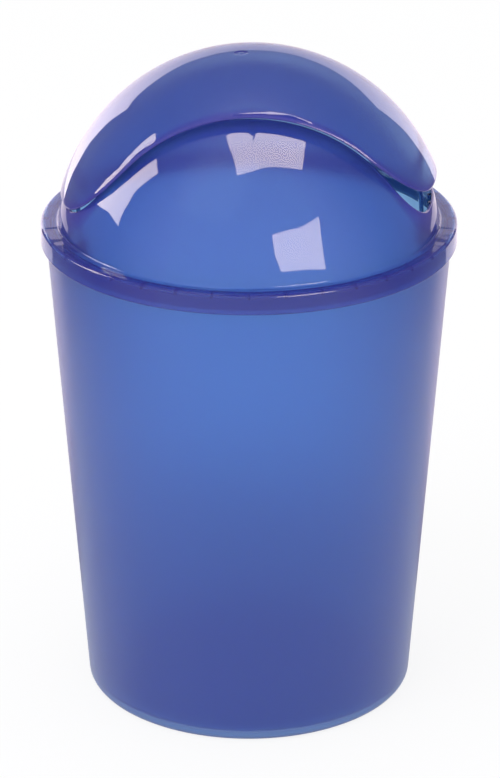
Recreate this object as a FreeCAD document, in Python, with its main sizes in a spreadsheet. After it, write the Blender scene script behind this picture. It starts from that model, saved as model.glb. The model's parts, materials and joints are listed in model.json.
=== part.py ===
import FreeCAD, Part
import os

import Sketcher

# A 10 litre swing-top bin: a tapered tub, a domed bonnet that rests on its rim, and a spherical flap whose
# two arms hang on pins in the bonnet's lugs. Millimetres and degrees. The origin is on the floor at the
# tub's axis, +Z is up and the front is towards -Y.

SIZES = [
    # Tub
    ("body_height", 294.0, "floor to the top of the tub's rim"),
    ("base_radius", 98.3, "outside of the wall, carried down to the floor"),
    ("rim_radius", 119.9, "outside of the wall at the rim"),
    ("body_wall", 1.8, "tub wall, measured level"),
    ("floor_thickness", 2.2, "tub floor"),
    ("base_edge_radius", 5.0, "rounding of the tub's bottom edge"),
    ("floor_corner_radius", 4.0, "rounding inside, where the wall meets the floor"),
    ("foot_height", 2.5, "how far the floor is raised inside the foot ring"),
    ("foot_width", 7.0, "flat of the foot ring that it stands on"),
    ("rim_rounding", 0.6, "rounding of the rim's two edges"),
    # Bonnet: collar, ledge, locating skirt and seat ribs
    ("rim_clearance", 0.8, "between the rim and the inside of the collar"),
    ("collar_wall", 1.8, "collar"),
    ("collar_height", 12.0, "collar, outside"),
    ("collar_draft", 0.25, "how much wider the collar is at its lower edge"),
    ("collar_edge_radius", 2.0, "rounding where the collar turns into the ledge"),
    ("ledge_width", 9.95, "from the outside of the collar to the foot of the dome"),
    ("ledge_thickness", 1.8, "ledge"),
    ("ledge_fillet", 1.5, "hollow rounding at the foot of the dome"),
    ("locator_wall", 1.6, "skirt that drops inside the rim"),
    ("locator_depth", 8.0, "skirt, below the top of the rim"),
    ("locator_clearance", 0.8, "between the skirt's lower edge and the tub"),
    ("seat_rib_height", 1.2, "ribs under the ledge that rest on the rim"),
    ("seat_rib_width", 1.6, "ribs under the ledge"),
    # Bonnet: dome and mouth
    ("dome_drop", 21.5, "from the top of the ledge down to the dome's centre"),
    ("dome_wall", 1.6, "dome"),
    ("mouth_half_width", 52.5, "from the middle to the front or back edge of the mouth"),
    ("mouth_corner", 25.5, "rounding of the mouth's corners, seen from the side"),
    ("sill_height", 15.3, "from the ledge up to the mouth's edge at either side"),
    # Flap
    ("flap_gap", 1.2, "between the dome and the flap, all round"),
    ("flap_wall", 1.4, "flap"),
    ("flap_overlap", 8.5, "how far the flap covers the mouth's front and back edges"),
    ("tip_gap", 1.5, "from the sill up to the flap's tip when it is seated"),
    ("flap_tilt", 3.2, "degrees by which the flap's right end stands up at rest"),
    # Arms, pins and lugs
    ("pin_radius", 4.0, "pivot pin"),
    ("pin_head_radius", 6.5, "head of the pin, inside the arm"),
    ("pin_head_thickness", 1.8, "head of the pin"),
    ("pin_chamfer", 0.8, "chamfer of the pin's tip"),
    ("pin_reach", 4.3, "how far the seated pin reaches into its lug"),
    ("bore_clearance", 0.1, "between the pin and the arm's bore"),
    ("head_clearance", 0.3, "between the pin's head and the arm"),
    ("arm_thickness", 2.5, "arm of the flap"),
    ("arm_hub_radius", 9.0, "round end of the arm"),
    ("arm_root_half_width", 12.0, "arm where it meets the flap"),
    ("arm_clearance", 3.5, "between the arm and the lug when the flap is seated"),
    ("lug_inset", 7.55, "from the foot of the dome in to the lug's face"),
    ("lug_wall", 3.7, "lug, beside and below the channel"),
    ("lug_top_inset", 3.3, "from the sill down to the top of the lug"),
    ("channel_clearance", 0.3, "between the pin and its channel"),
    ("channel_end_clearance", 2.6, "between the seated pin's tip and the end of the channel"),
    # Working value
    ("overrun", 5.0, "how far a cut runs past what it cuts"),
]
SEAT_RIB_COUNT = 36
FULL_TURN = 360
QUARTER_TURN = 90

doc = FreeCAD.newDocument("swing_top_bin")
sheet = doc.addObject("Spreadsheet::Sheet", "sizes")
for row, (alias, value, note) in enumerate(SIZES, start=1):
    sheet.set(f"A{row}", alias)
    sheet.set(f"B{row}", str(value))
    sheet.set(f"C{row}", note)
    sheet.setAlias(f"B{row}", alias)
doc.recompute()

# Levels, worked out from the sheet
FLOOR_TOP = "(sizes.foot_height + sizes.floor_thickness)"
LEDGE_UNDER = "(sizes.body_height + sizes.seat_rib_height)"
LEDGE_TOP = f"({LEDGE_UNDER} + sizes.ledge_thickness)"
COLLAR_LOW = f"({LEDGE_TOP} - sizes.collar_height)"
LOCATOR_LOW = "(sizes.body_height - sizes.locator_depth)"
PIVOT = f"({LEDGE_TOP} - sizes.dome_drop)"
SILL = f"({LEDGE_TOP} + sizes.sill_height)"
TIP = f"({SILL} + sizes.tip_gap)"
LUG_LOW = f"({PIVOT} - sizes.pin_radius - sizes.channel_clearance - sizes.lug_wall)"
LUG_TOP = f"({SILL} - sizes.lug_top_inset)"

# Radii about the bin's axis
WALL_SLOPE = "((sizes.rim_radius - sizes.base_radius) / sizes.body_height)"
FLOOR_RADIUS = f"(sizes.base_radius + {WALL_SLOPE} * {FLOOR_TOP} - sizes.body_wall)"
FOOT_INNER = "(sizes.base_radius - sizes.base_edge_radius - sizes.foot_width)"
COLLAR_TOP_RADIUS = "(sizes.rim_radius + sizes.rim_clearance + sizes.collar_wall)"
COLLAR_LOW_RADIUS = f"({COLLAR_TOP_RADIUS} + sizes.collar_draft)"
LOCATOR_OUTER = (
    f"(sizes.rim_radius - sizes.body_wall - {WALL_SLOPE} * sizes.locator_depth - sizes.locator_clearance)"
)
LOCATOR_INNER = f"({LOCATOR_OUTER} - sizes.locator_wall)"
DOME_FOOT = f"({COLLAR_TOP_RADIUS} - sizes.ledge_width)"

# Radii about the dome's centre, which is also the middle of the pivot's axis
DOME_OUTER = f"sqrt({DOME_FOOT}^2 + sizes.dome_drop^2)"
DOME_INNER = f"({DOME_OUTER} - sizes.dome_wall)"
DOME_MIDDLE = f"({DOME_OUTER} - sizes.dome_wall / 2)"
FLAP_INNER = f"({DOME_OUTER} + sizes.flap_gap)"
FLAP_OUTER = f"({FLAP_INNER} + sizes.flap_wall)"
FLAP_MIDDLE = f"({FLAP_INNER} + sizes.flap_wall / 2)"

# Distances across from the bin's middle plane to the faces of the pivot's pieces
LUG_FACE = f"({DOME_FOOT} - sizes.lug_inset)"
ARM_OUTER = f"({LUG_FACE} - sizes.arm_clearance)"
ARM_INNER = f"({ARM_OUTER} - sizes.arm_thickness)"
PIN_HEAD_FACE = f"({ARM_INNER} - sizes.head_clearance)"
PIN_TIP = f"({LUG_FACE} + sizes.pin_reach)"
CHANNEL_END = f"({PIN_TIP} + sizes.channel_end_clearance)"
CHANNEL_RADIUS = "(sizes.pin_radius + sizes.channel_clearance)"
FLAP_HALF_WIDTH = "(sizes.mouth_half_width + sizes.flap_overlap)"
FLAP_CORNER = "(sizes.mouth_corner + sizes.flap_overlap)"


def size(expression):
    """The value that an expression in the sheet's sizes has now."""
    return float(sheet.evalExpression(expression))


def origin_feature(body, role):
    """The body's own origin plane or axis with that role."""
    return [feature for feature in body.Origin.OriginFeatures if feature.Role == role][0]


def arc_between(start, end, radius, turn):
    """The short arc from start to end. Its centre lies left of the way for a turn of 1 and right for -1."""
    chord = end - start
    middle = (start + end) * 0.5
    rise = max(radius ** 2 - (chord.Length / 2) ** 2, 0) ** 0.5
    left = FreeCAD.Vector(-chord.y, chord.x, 0).normalize()
    centre = middle + left * (rise * turn)
    circle = Part.Circle(centre, FreeCAD.Vector(0, 0, 1), radius)
    first, last = (start, end) if turn > 0 else (end, start)
    return Part.ArcOfCircle(circle, circle.parameter(first), circle.parameter(last))


def bind_distance(sketch, kind, line, point, expression):
    """Ties one coordinate of a sketch point to an expression."""
    value = size(expression)
    if value > 0:
        number = sketch.addConstraint(Sketcher.Constraint(kind, -1, 1, line, point, value))
        sketch.setExpression(f"Constraints[{number}]", expression)
    else:
        number = sketch.addConstraint(Sketcher.Constraint(kind, line, point, -1, 1, -value))
        sketch.setExpression(f"Constraints[{number}]", f"-({expression})")


def outline(body, name, role, corners, arcs=None, offset=None):
    """A closed sketch on one of the body's origin planes.

    corners are (across, up) pairs of expressions. arcs maps a corner's number to the (radius, turn) of the
    arc that runs from it to the next corner. offset lifts the sketch off the plane.
    """
    arcs = arcs or {}
    sketch = body.newObject("Sketcher::SketchObject", name)
    sketch.AttachmentSupport = [(origin_feature(body, role), "")]
    sketch.MapMode = "FlatFace"
    if offset:
        sketch.setExpression("AttachmentOffset.Base.z", offset)
    places = [FreeCAD.Vector(size(across), size(up), 0) for across, up in corners]
    first_points = []
    last_points = []
    for number, start in enumerate(places):
        end = places[(number + 1) % len(places)]
        radius, turn = arcs.get(number, (None, 1))
        if radius:
            line = sketch.addGeometry(arc_between(start, end, size(radius), turn), False)
            bound = sketch.addConstraint(Sketcher.Constraint("Radius", line, size(radius)))
            sketch.setExpression(f"Constraints[{bound}]", radius)
        else:
            sketch.addGeometry(Part.LineSegment(start, end), False)
        first_points.append(1 if turn > 0 else 2)
        last_points.append(2 if turn > 0 else 1)
    for number, (across, up) in enumerate(corners):
        before = number - 1 if number else len(corners) - 1
        here = (number, first_points[number])
        sketch.addConstraint(Sketcher.Constraint("Coincident", before, last_points[before], *here))
        if across == "0":
            sketch.addConstraint(Sketcher.Constraint("PointOnObject", *here, -2))
        else:
            bind_distance(sketch, "DistanceX", *here, across)
        if up == "0":
            sketch.addConstraint(Sketcher.Constraint("PointOnObject", *here, -1))
        else:
            bind_distance(sketch, "DistanceY", *here, up)
    return sketch


def turned(body, name, corners, arcs=None):
    """A solid of revolution about the body's Z axis, from an outline in (radius, height)."""
    sketch = outline(body, name + "_outline", "XZ_Plane", corners, arcs)
    solid = body.newObject("PartDesign::Revolution", name)
    solid.Profile = sketch
    solid.ReferenceAxis = (sketch, ["V_Axis"])
    solid.Angle = FULL_TURN
    doc.recompute()
    return solid


def cut_across(body, name, corners, arcs):
    """A cut right through the body along X, from an outline in (Y, height)."""
    before = body.Shape.Volume
    sketch = outline(body, name + "_outline", "YZ_Plane", corners, arcs)
    cut = body.newObject("PartDesign::Pocket", name)
    cut.Profile = sketch
    cut.Type = "ThroughAll"
    cut.SideType = "Symmetric"
    doc.recompute()
    if not body.Shape.Volume < before:
        raise RuntimeError(f"{name} cut nothing")
    return cut


def rounded(body, name, base, circles, radius):
    """Rounds the base's circular edges that lie at the given (radius, height) places."""
    wanted = []
    for number, edge in enumerate(base.Shape.Edges, start=1):
        if edge.Degenerated or not isinstance(edge.Curve, Part.Circle):
            continue
        for across, up in circles:
            level = abs(edge.Curve.Center.z - size(up)) < edge.Tolerance
            if level and abs(edge.Curve.Radius - size(across)) < edge.Tolerance:
                wanted.append(f"Edge{number}")
    if len(wanted) < len(circles):
        raise RuntimeError(f"{name} found too few edges")
    fillet = body.newObject("PartDesign::Fillet", name)
    fillet.Base = (base, wanted)
    fillet.setExpression("Radius", radius)
    doc.recompute()
    return fillet


def new_body(name):
    """An empty body that keeps the name as its label."""
    return doc.addObject("PartDesign::Body", name)


def primitive(kind, name, **expressions):
    """A Part primitive with its sizes, and its place as at_x, at_y and at_z, bound to expressions."""
    thing = doc.addObject(kind, name)
    for field, expression in expressions.items():
        target = field.replace("at_", "Placement.Base.") if field.startswith("at_") else field
        thing.setExpression(target, expression)
    return thing


def joined(kind, name, base, tool):
    """A boolean of two objects: Part::Cut, Part::Fuse or Part::Common."""
    result = doc.addObject(kind, name)
    result.Base = base
    result.Tool = tool
    doc.recompute()
    return result


def make_body_shell():
    """The tub: tapered wall, floor raised inside a foot ring, rounded edges."""
    body = new_body("body_shell")
    rim_inner = "(sizes.rim_radius - sizes.body_wall)"
    wall = turned(body, "tub_wall", [
        ("0", "sizes.foot_height"),
        (FOOT_INNER, "sizes.foot_height"),
        (FOOT_INNER, "0"),
        ("sizes.base_radius", "0"),
        ("sizes.rim_radius", "sizes.body_height"),
        (rim_inner, "sizes.body_height"),
        (FLOOR_RADIUS, FLOOR_TOP),
        ("0", FLOOR_TOP),
    ])
    edge = rounded(body, "base_edge", wall, [("sizes.base_radius", "0")], "sizes.base_edge_radius")
    corner = rounded(body, "floor_corner", edge, [(FLOOR_RADIUS, FLOOR_TOP)], "sizes.floor_corner_radius")
    rim_edges = [("sizes.rim_radius", "sizes.body_height"), (rim_inner, "sizes.body_height")]
    rounded(body, "rim_edges", corner, rim_edges, "sizes.rim_rounding")
    return body


def make_bonnet_shell():
    """Collar, ledge, locating skirt, seat ribs and dome, with the mouth cut through the dome."""
    body = new_body("bonnet_shell")
    dome_inner_foot = f"sqrt({DOME_INNER}^2 - ({LEDGE_UNDER} - {PIVOT})^2)"
    corners = [
        (f"({COLLAR_LOW_RADIUS} - sizes.collar_wall)", COLLAR_LOW),
        (COLLAR_LOW_RADIUS, COLLAR_LOW),
        (COLLAR_TOP_RADIUS, LEDGE_TOP),
        (DOME_FOOT, LEDGE_TOP),
        ("0", f"({PIVOT} + {DOME_OUTER})"),
        ("0", f"({PIVOT} + {DOME_INNER})"),
        (dome_inner_foot, LEDGE_UNDER),
        (LOCATOR_INNER, LEDGE_UNDER),
        (LOCATOR_INNER, LOCATOR_LOW),
        (LOCATOR_OUTER, LOCATOR_LOW),
        (LOCATOR_OUTER, LEDGE_UNDER),
        (f"({COLLAR_TOP_RADIUS} - sizes.collar_wall)", LEDGE_UNDER),
    ]
    shell = turned(body, "bonnet_wall", corners, {3: (DOME_OUTER, 1), 5: (DOME_INNER, -1)})
    hollow = rounded(body, "dome_foot", shell, [(DOME_FOOT, LEDGE_TOP)], "sizes.ledge_fillet")
    rounded(body, "collar_edge", hollow, [(COLLAR_TOP_RADIUS, LEDGE_TOP)], "sizes.collar_edge_radius")
    add_seat_ribs(body)
    above = f"({PIVOT} + {DOME_OUTER} + sizes.overrun)"
    inner_y = "(sizes.mouth_half_width - sizes.mouth_corner)"
    corner_top = f"({SILL} + sizes.mouth_corner)"
    cut_across(body, "mouth", [
        ("-sizes.mouth_half_width", above),
        ("-sizes.mouth_half_width", corner_top),
        (f"-{inner_y}", SILL),
        (inner_y, SILL),
        ("sizes.mouth_half_width", corner_top),
        ("sizes.mouth_half_width", above),
    ], {1: ("sizes.mouth_corner", 1), 3: ("sizes.mouth_corner", 1)})
    return body


def add_seat_ribs(body):
    """Short radial ribs under the ledge, which carry the bonnet on the rim."""
    inside = f"({LOCATOR_OUTER} - sizes.locator_wall / 2)"
    outside = f"({COLLAR_TOP_RADIUS} - sizes.collar_wall / 2)"
    ledge_middle = f"({LEDGE_UNDER} + sizes.ledge_thickness / 2)"
    sketch = outline(body, "seat_rib_outline", "XZ_Plane", [
        (inside, "sizes.body_height"),
        (outside, "sizes.body_height"),
        (outside, ledge_middle),
        (inside, ledge_middle),
    ])
    rib = body.newObject("PartDesign::Pad", "seat_rib")
    rib.Profile = sketch
    rib.SideType = "Symmetric"
    rib.setExpression("Length", "sizes.seat_rib_width")
    doc.recompute()
    ribs = body.newObject("PartDesign::PolarPattern", "seat_ribs")
    ribs.Originals = [rib]
    ribs.Axis = (origin_feature(body, "Z_Axis"), [""])
    ribs.Angle = FULL_TURN
    ribs.Occurrences = SEAT_RIB_COUNT
    body.Tip = ribs
    doc.recompute()


def make_lug(side, name):
    """A bearing lug inside the bonnet, with a channel for the pin that is open at the top."""
    half_width = f"({CHANNEL_RADIUS} + sizes.lug_wall)"
    block = primitive(
        "Part::Box", f"lug_block_{name}",
        Length=f"({DOME_OUTER} - {LUG_FACE})", Width=f"2 * {half_width}", Height=f"({LUG_TOP} - {LUG_LOW})",
        at_x=LUG_FACE if side > 0 else f"-{DOME_OUTER}", at_y=f"-{half_width}", at_z=LUG_LOW,
    )
    ball = primitive("Part::Sphere", f"lug_ball_{name}", Radius=DOME_MIDDLE, at_z=PIVOT)
    lug = joined("Part::Common", f"lug_{name}", block, ball)
    depth = f"({CHANNEL_END} - {LUG_FACE} + sizes.overrun)"
    start = f"({LUG_FACE} - sizes.overrun)" if side > 0 else f"-{CHANNEL_END}"
    seat = primitive(
        "Part::Cylinder", f"channel_seat_{name}", Radius=CHANNEL_RADIUS, Height=depth, at_x=start, at_z=PIVOT,
    )
    seat.Placement.Rotation = FreeCAD.Rotation(FreeCAD.Vector(0, 1, 0), QUARTER_TURN)
    slot = primitive(
        "Part::Box", f"channel_slot_{name}",
        Length=depth, Width=f"2 * {CHANNEL_RADIUS}", Height=f"({LUG_TOP} - {PIVOT} + sizes.overrun)",
        at_x=start, at_y=f"-{CHANNEL_RADIUS}", at_z=PIVOT,
    )
    channel = joined("Part::Fuse", f"channel_{name}", seat, slot)
    return joined("Part::Cut", f"lug_cut_{name}", lug, channel)


def make_bonnet():
    """The bonnet with its two lugs, one moulding."""
    shell = make_bonnet_shell()
    with_right = joined("Part::Fuse", "bonnet_with_right_lug", shell, make_lug(1, "right"))
    return joined("Part::Fuse", "bonnet", with_right, make_lug(-1, "left"))


def make_flap_shell():
    """A cap of a sphere, cut straight at the front and back with rounded lower corners."""
    body = new_body("flap_shell")
    turned(body, "flap_cap", [
        ("0", f"({PIVOT} + {FLAP_INNER})"),
        (f"sqrt({FLAP_INNER}^2 - ({TIP} - {PIVOT})^2)", TIP),
        (f"sqrt({FLAP_OUTER}^2 - ({TIP} - {PIVOT})^2)", TIP),
        ("0", f"({PIVOT} + {FLAP_OUTER})"),
    ], {0: (FLAP_INNER, -1), 2: (FLAP_OUTER, 1)})
    above = f"({PIVOT} + {FLAP_OUTER} + sizes.overrun)"
    below = f"({TIP} - sizes.overrun)"
    beyond = f"({FLAP_OUTER} + sizes.overrun)"
    inner_y = f"({FLAP_HALF_WIDTH} - {FLAP_CORNER})"
    corner_top = f"({TIP} + {FLAP_CORNER})"
    for name, sign, turn in (("flap_back", "", 1), ("flap_front", "-", -1)):
        cut_across(body, name, [
            (sign + inner_y, TIP),
            (sign + FLAP_HALF_WIDTH, corner_top),
            (sign + FLAP_HALF_WIDTH, above),
            (sign + beyond, above),
            (sign + beyond, below),
            (sign + inner_y, below),
        ], {0: (FLAP_CORNER, turn)})
    return body


def make_arm(side, name):
    """A tapered arm inside the flap, round at the pin, that ends inside the flap's wall."""
    body = new_body(f"arm_blank_{name}")
    root = f"({PIVOT} + {FLAP_OUTER})"
    offset = ARM_INNER if side > 0 else f"-{ARM_OUTER}"
    sketch = outline(body, f"arm_outline_{name}", "YZ_Plane", [
        ("-sizes.arm_hub_radius", PIVOT),
        ("0", f"({PIVOT} - sizes.arm_hub_radius)"),
        ("sizes.arm_hub_radius", PIVOT),
        ("sizes.arm_root_half_width", root),
        ("-sizes.arm_root_half_width", root),
    ], {0: ("sizes.arm_hub_radius", 1), 1: ("sizes.arm_hub_radius", 1)}, offset)
    blank = body.newObject("PartDesign::Pad", f"arm_pad_{name}")
    blank.Profile = sketch
    blank.setExpression("Length", "sizes.arm_thickness")
    doc.recompute()
    ball = primitive("Part::Sphere", f"arm_ball_{name}", Radius=FLAP_MIDDLE, at_z=PIVOT)
    return joined("Part::Common", f"arm_{name}", body, ball)


def tilt():
    """How the flap and its pins stand at rest: right end up, turned about the left sill of the mouth."""
    sill_x = size(f"sqrt({DOME_OUTER}^2 - ({SILL} - {PIVOT})^2)")
    fulcrum = FreeCAD.Vector(-sill_x, 0, size(SILL))
    turn = FreeCAD.Rotation(FreeCAD.Vector(0, -1, 0), size("sizes.flap_tilt"))
    return FreeCAD.Placement(FreeCAD.Vector(0, 0, 0), turn, fulcrum)


def make_flap():
    """The flap with its two arms, one moulding, bored for the pins."""
    with_right = joined("Part::Fuse", "flap_with_right_arm", make_flap_shell(), make_arm(1, "right"))
    whole = joined("Part::Fuse", "flap_unbored", with_right, make_arm(-1, "left"))
    bore = primitive(
        "Part::Cylinder", "pin_bore", Radius="sizes.pin_radius + sizes.bore_clearance",
        Height=f"2 * ({ARM_OUTER} + sizes.overrun)", at_x=f"-({ARM_OUTER} + sizes.overrun)", at_z=PIVOT,
    )
    bore.Placement.Rotation = FreeCAD.Rotation(FreeCAD.Vector(0, 1, 0), QUARTER_TURN)
    flap = joined("Part::Cut", "flap", whole, bore)
    flap.Placement = tilt()
    return flap


def make_pin(side, name):
    """A headed pin along X, pushed outwards through the arm into the lug's channel."""
    pin = new_body(f"pivot_pin_{name}")
    head_back = f"({PIN_HEAD_FACE} - sizes.pin_head_thickness)"
    turned(pin, f"pin_turned_{name}", [
        ("0", head_back),
        ("sizes.pin_head_radius", head_back),
        ("sizes.pin_head_radius", PIN_HEAD_FACE),
        ("sizes.pin_radius", PIN_HEAD_FACE),
        ("sizes.pin_radius", f"({PIN_TIP} - sizes.pin_chamfer)"),
        ("(sizes.pin_radius - sizes.pin_chamfer)", PIN_TIP),
        ("0", PIN_TIP),
    ])
    turn = FreeCAD.Rotation(FreeCAD.Vector(0, 1, 0), side * QUARTER_TURN)
    pin.Placement = tilt().multiply(FreeCAD.Placement(FreeCAD.Vector(0, 0, size(PIVOT)), turn))
    return pin


def check(nodes):
    """Stops if anything in the document failed, or a piece is not one valid solid."""
    doc.recompute()
    for thing in doc.Objects:
        if "Invalid" in thing.State or "Error" in thing.State:
            raise RuntimeError(f"{thing.Label} failed: {thing.State}")
    for node in nodes:
        if node.Shape.isNull() or not node.Shape.isValid() or len(node.Shape.Solids) != 1:
            raise RuntimeError(f"{node.Label} is not one valid solid")


nodes = [make_body_shell(), make_bonnet(), make_flap(), make_pin(-1, "left"), make_pin(1, "right")]
check(nodes)
os.makedirs("parts", exist_ok=True)
for node in nodes:
    node.Shape.exportStep(f"parts/{node.Label}.step")
    print(node.Label, round(node.Shape.Volume), "cubic mm")
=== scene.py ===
import json
import math

import bmesh
import bpy
from mathutils import Matrix, Vector


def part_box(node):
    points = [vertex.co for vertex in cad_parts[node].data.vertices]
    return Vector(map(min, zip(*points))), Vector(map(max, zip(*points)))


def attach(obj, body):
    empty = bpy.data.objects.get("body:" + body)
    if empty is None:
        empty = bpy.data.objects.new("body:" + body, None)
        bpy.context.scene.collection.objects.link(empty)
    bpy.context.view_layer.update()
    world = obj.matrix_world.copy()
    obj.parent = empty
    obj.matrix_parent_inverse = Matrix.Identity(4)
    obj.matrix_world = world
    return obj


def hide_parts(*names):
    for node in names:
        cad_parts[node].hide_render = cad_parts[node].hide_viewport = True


# A swing-top bin in translucent blue plastic: a frosted tub, a glossy domed bonnet and a glossy swing flap.
# Lengths are in millimetres, and each mesh is turned to metres where it is made.

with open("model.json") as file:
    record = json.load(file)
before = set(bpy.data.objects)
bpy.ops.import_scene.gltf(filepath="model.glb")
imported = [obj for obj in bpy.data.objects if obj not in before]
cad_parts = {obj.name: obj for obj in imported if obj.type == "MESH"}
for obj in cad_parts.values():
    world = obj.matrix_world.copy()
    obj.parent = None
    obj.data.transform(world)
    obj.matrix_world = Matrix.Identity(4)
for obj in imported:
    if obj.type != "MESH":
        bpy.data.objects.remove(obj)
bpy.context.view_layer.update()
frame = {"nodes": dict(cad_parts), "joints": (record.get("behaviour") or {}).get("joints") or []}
MM = 0.001

# Places that the frame gives: the mouth's left sill, which the flap rocks on, and the flap's pivot
JOINTS = {joint["name"]: joint for joint in frame["joints"]}
SILL_POINT = Vector(JOINTS["flap_tilt"]["pos_m"]) / MM
FLAP_CENTRE = Vector(JOINTS["flap_swing"]["pos_m"]) / MM
FLAP_TILT = Matrix.Rotation(math.radians(-JOINTS["flap_tilt"]["range_deg"][0]), 3, Vector((0, -1, 0)))
DOME_CENTRE = SILL_POINT + FLAP_TILT.inverted() @ (FLAP_CENTRE - SILL_POINT)
DOME_OUTER = (SILL_POINT - DOME_CENTRE).length
PIVOT = DOME_CENTRE.z
BODY_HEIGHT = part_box("body_shell")[1].z / MM
COLLAR_LOW_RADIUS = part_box("bonnet")[1].x / MM

# Tub
BASE_RADIUS = 98.3
RIM_RADIUS = 119.9
BODY_WALL = 1.8
FLOOR_THICKNESS = 2.2
BASE_EDGE_RADIUS = 5.0
FLOOR_CORNER_RADIUS = 4.0
FOOT_HEIGHT = 2.5
FOOT_WIDTH = 7.0
FOOT_ROUNDING = 1.0
RIM_ROUNDING = 0.6
LONGEST_RUN = 12.0

# Bonnet
COLLAR_WALL = 1.8
COLLAR_HEIGHT = 12.0
COLLAR_DRAFT = 0.25
COLLAR_EDGE_RADIUS = 2.0
COLLAR_LIP_ROUNDING = 0.6
LEDGE_WIDTH = 9.95
LEDGE_THICKNESS = 1.8
LEDGE_FILLET = 1.5
LOCATOR_WALL = 1.6
LOCATOR_DEPTH = 8.0
LOCATOR_CLEARANCE = 0.8
HIDDEN_ROUNDING = 0.5
DOME_WALL = 1.6
MOUTH_HALF_WIDTH = 52.5
MOUTH_CORNER = 25.5
# How far the lip's outer edge is rounded, and how far in from the edge a darker tint is painted on the dome
# as shade under the flap
MOUTH_LIP = 0.8
MOUTH_SHADE_WIDTH = 16.0
SEAT_RIB_COUNT = 36
SEAT_RIB_WIDTH = 1.6
SEAT_RIB_HEIGHT = 1.2
SEAT_RIB_LIFT = 0.05
SEAT_RIB_ROUNDING = 0.3
SINK_DEPTH = 0.07
SINK_WIDTH = 2.4
# The weld line, drawn deeper than a real one so that it shows
WELD_SIDEWAYS = 1.6
WELD_DEPTH = 0.85
WELD_WIDTH = 2.0
WELD_LENGTH = 28.0

# Flap, arms and lugs
FLAP_GAP = 1.2
FLAP_WALL = 1.4
FLAP_OVERLAP = 8.5
FLAP_LIP = 1.5
# How far in from the flap's edge a darker tint is painted on as shade
FLAP_EDGE_SHADE_WIDTH = 6.0
TIP_GAP = 1.5
GATE_RADIUS = 4.2
GATE_FLATNESS = 4
GATE_DEPTH = 0.45
GATE_NUB_RADIUS = 1.3
GATE_NUB_HEIGHT = 0.3
PIN_RADIUS = 4.0
BORE_CLEARANCE = 0.1
ARM_THICKNESS = 2.5
ARM_HUB_RADIUS = 9.0
ARM_ROOT_HALF_WIDTH = 12.0
ARM_CLEARANCE = 3.5
ARM_ROUNDING = 0.5
LUG_INSET = 7.55
LUG_WALL = 3.7
LUG_TOP_INSET = 3.3
LUG_ROUNDING = 0.6
CHANNEL_CLEARANCE = 0.3
CHANNEL_DEPTH = 6.9

# Share of a spherical wall by which its lip is rounded on the inside
INNER_LIP_SHARE = 0.25

# Levels and radii worked out from these
LEDGE_UNDER = BODY_HEIGHT + SEAT_RIB_HEIGHT
LEDGE_TOP = LEDGE_UNDER + LEDGE_THICKNESS
COLLAR_LOW = LEDGE_TOP - COLLAR_HEIGHT
COLLAR_TOP_RADIUS = COLLAR_LOW_RADIUS - COLLAR_DRAFT
WALL_SLOPE = (RIM_RADIUS - BASE_RADIUS) / BODY_HEIGHT
LOCATOR_OUTER = RIM_RADIUS - BODY_WALL - WALL_SLOPE * LOCATOR_DEPTH - LOCATOR_CLEARANCE
LOCATOR_INNER = LOCATOR_OUTER - LOCATOR_WALL
DOME_FOOT = COLLAR_TOP_RADIUS - LEDGE_WIDTH
DOME_INNER = DOME_OUTER - DOME_WALL
FLAP_OUTER = DOME_OUTER + FLAP_GAP + FLAP_WALL
FLAP_MIDDLE = FLAP_OUTER - FLAP_WALL / 2
LUG_FACE = DOME_FOOT - LUG_INSET
ARM_MIDDLE = LUG_FACE - ARM_CLEARANCE - ARM_THICKNESS / 2
CHANNEL_RADIUS = PIN_RADIUS + CHANNEL_CLEARANCE

# Edges of the mouth and the flap in the side view, about the pivot: half width, lowest level, corner radius
MOUTH_EDGE = (MOUTH_HALF_WIDTH, SILL_POINT.z - PIVOT, MOUTH_CORNER)
FLAP_EDGE = (MOUTH_HALF_WIDTH + FLAP_OVERLAP, MOUTH_EDGE[1] + TIP_GAP, MOUTH_CORNER + FLAP_OVERLAP)

# Mesh density
COLUMNS = 360
TUB_COLUMNS = 240
ARM_COLUMNS = 96
ARC_STEPS = 6
LIP_STEPS = 8
DOME_ROWS = 30
FLAP_ROWS = 44
EDGE_SEARCH_STEPS = 40
BEVEL_STEPS = 3
# Close columns across the weld line, and how many even columns they take the place of
WELD_COLUMNS = 24
WELD_SPAN = 8

# Name of the mark that the bonnet's and the flap's points carry for their materials, which tells how much
# painted shade they take near the edges of the mouth and the flap
EDGE_SHADE_MARK = "wall_thickness"

FULL_TURN = 2 * math.pi
QUARTER_TURN = math.pi / 2


def rounded(corners):
    """Points along an outline of (across, up, radius) corners, each rounded by an arc of its radius."""
    points = []
    for number, (across, up, radius) in enumerate(corners):
        corner = Vector((across, up))
        if not radius:
            points.append(corner)
            continue
        before = (Vector(corners[number - 1][:2]) - corner).normalized()
        after = (Vector(corners[(number + 1) % len(corners)][:2]) - corner).normalized()
        half = before.angle(after) / 2
        centre = corner + (before + after).normalized() * (radius / math.sin(half))
        first = corner + before * (radius / math.tan(half)) - centre
        last = corner + after * (radius / math.tan(half)) - centre
        for step in range(ARC_STEPS + 1):
            points.append(centre + first.lerp(last, step / ARC_STEPS).normalized() * radius)
    return points


def with_even_runs(points):
    """The same line with points added so that no run is longer than the longest one allowed."""
    filled = []
    for start, end in zip(points, points[1:]):
        count = math.ceil((end - start).length / LONGEST_RUN)
        filled += [start.lerp(end, step / count) for step in range(count)]
    return filled + [points[-1]]


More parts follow.
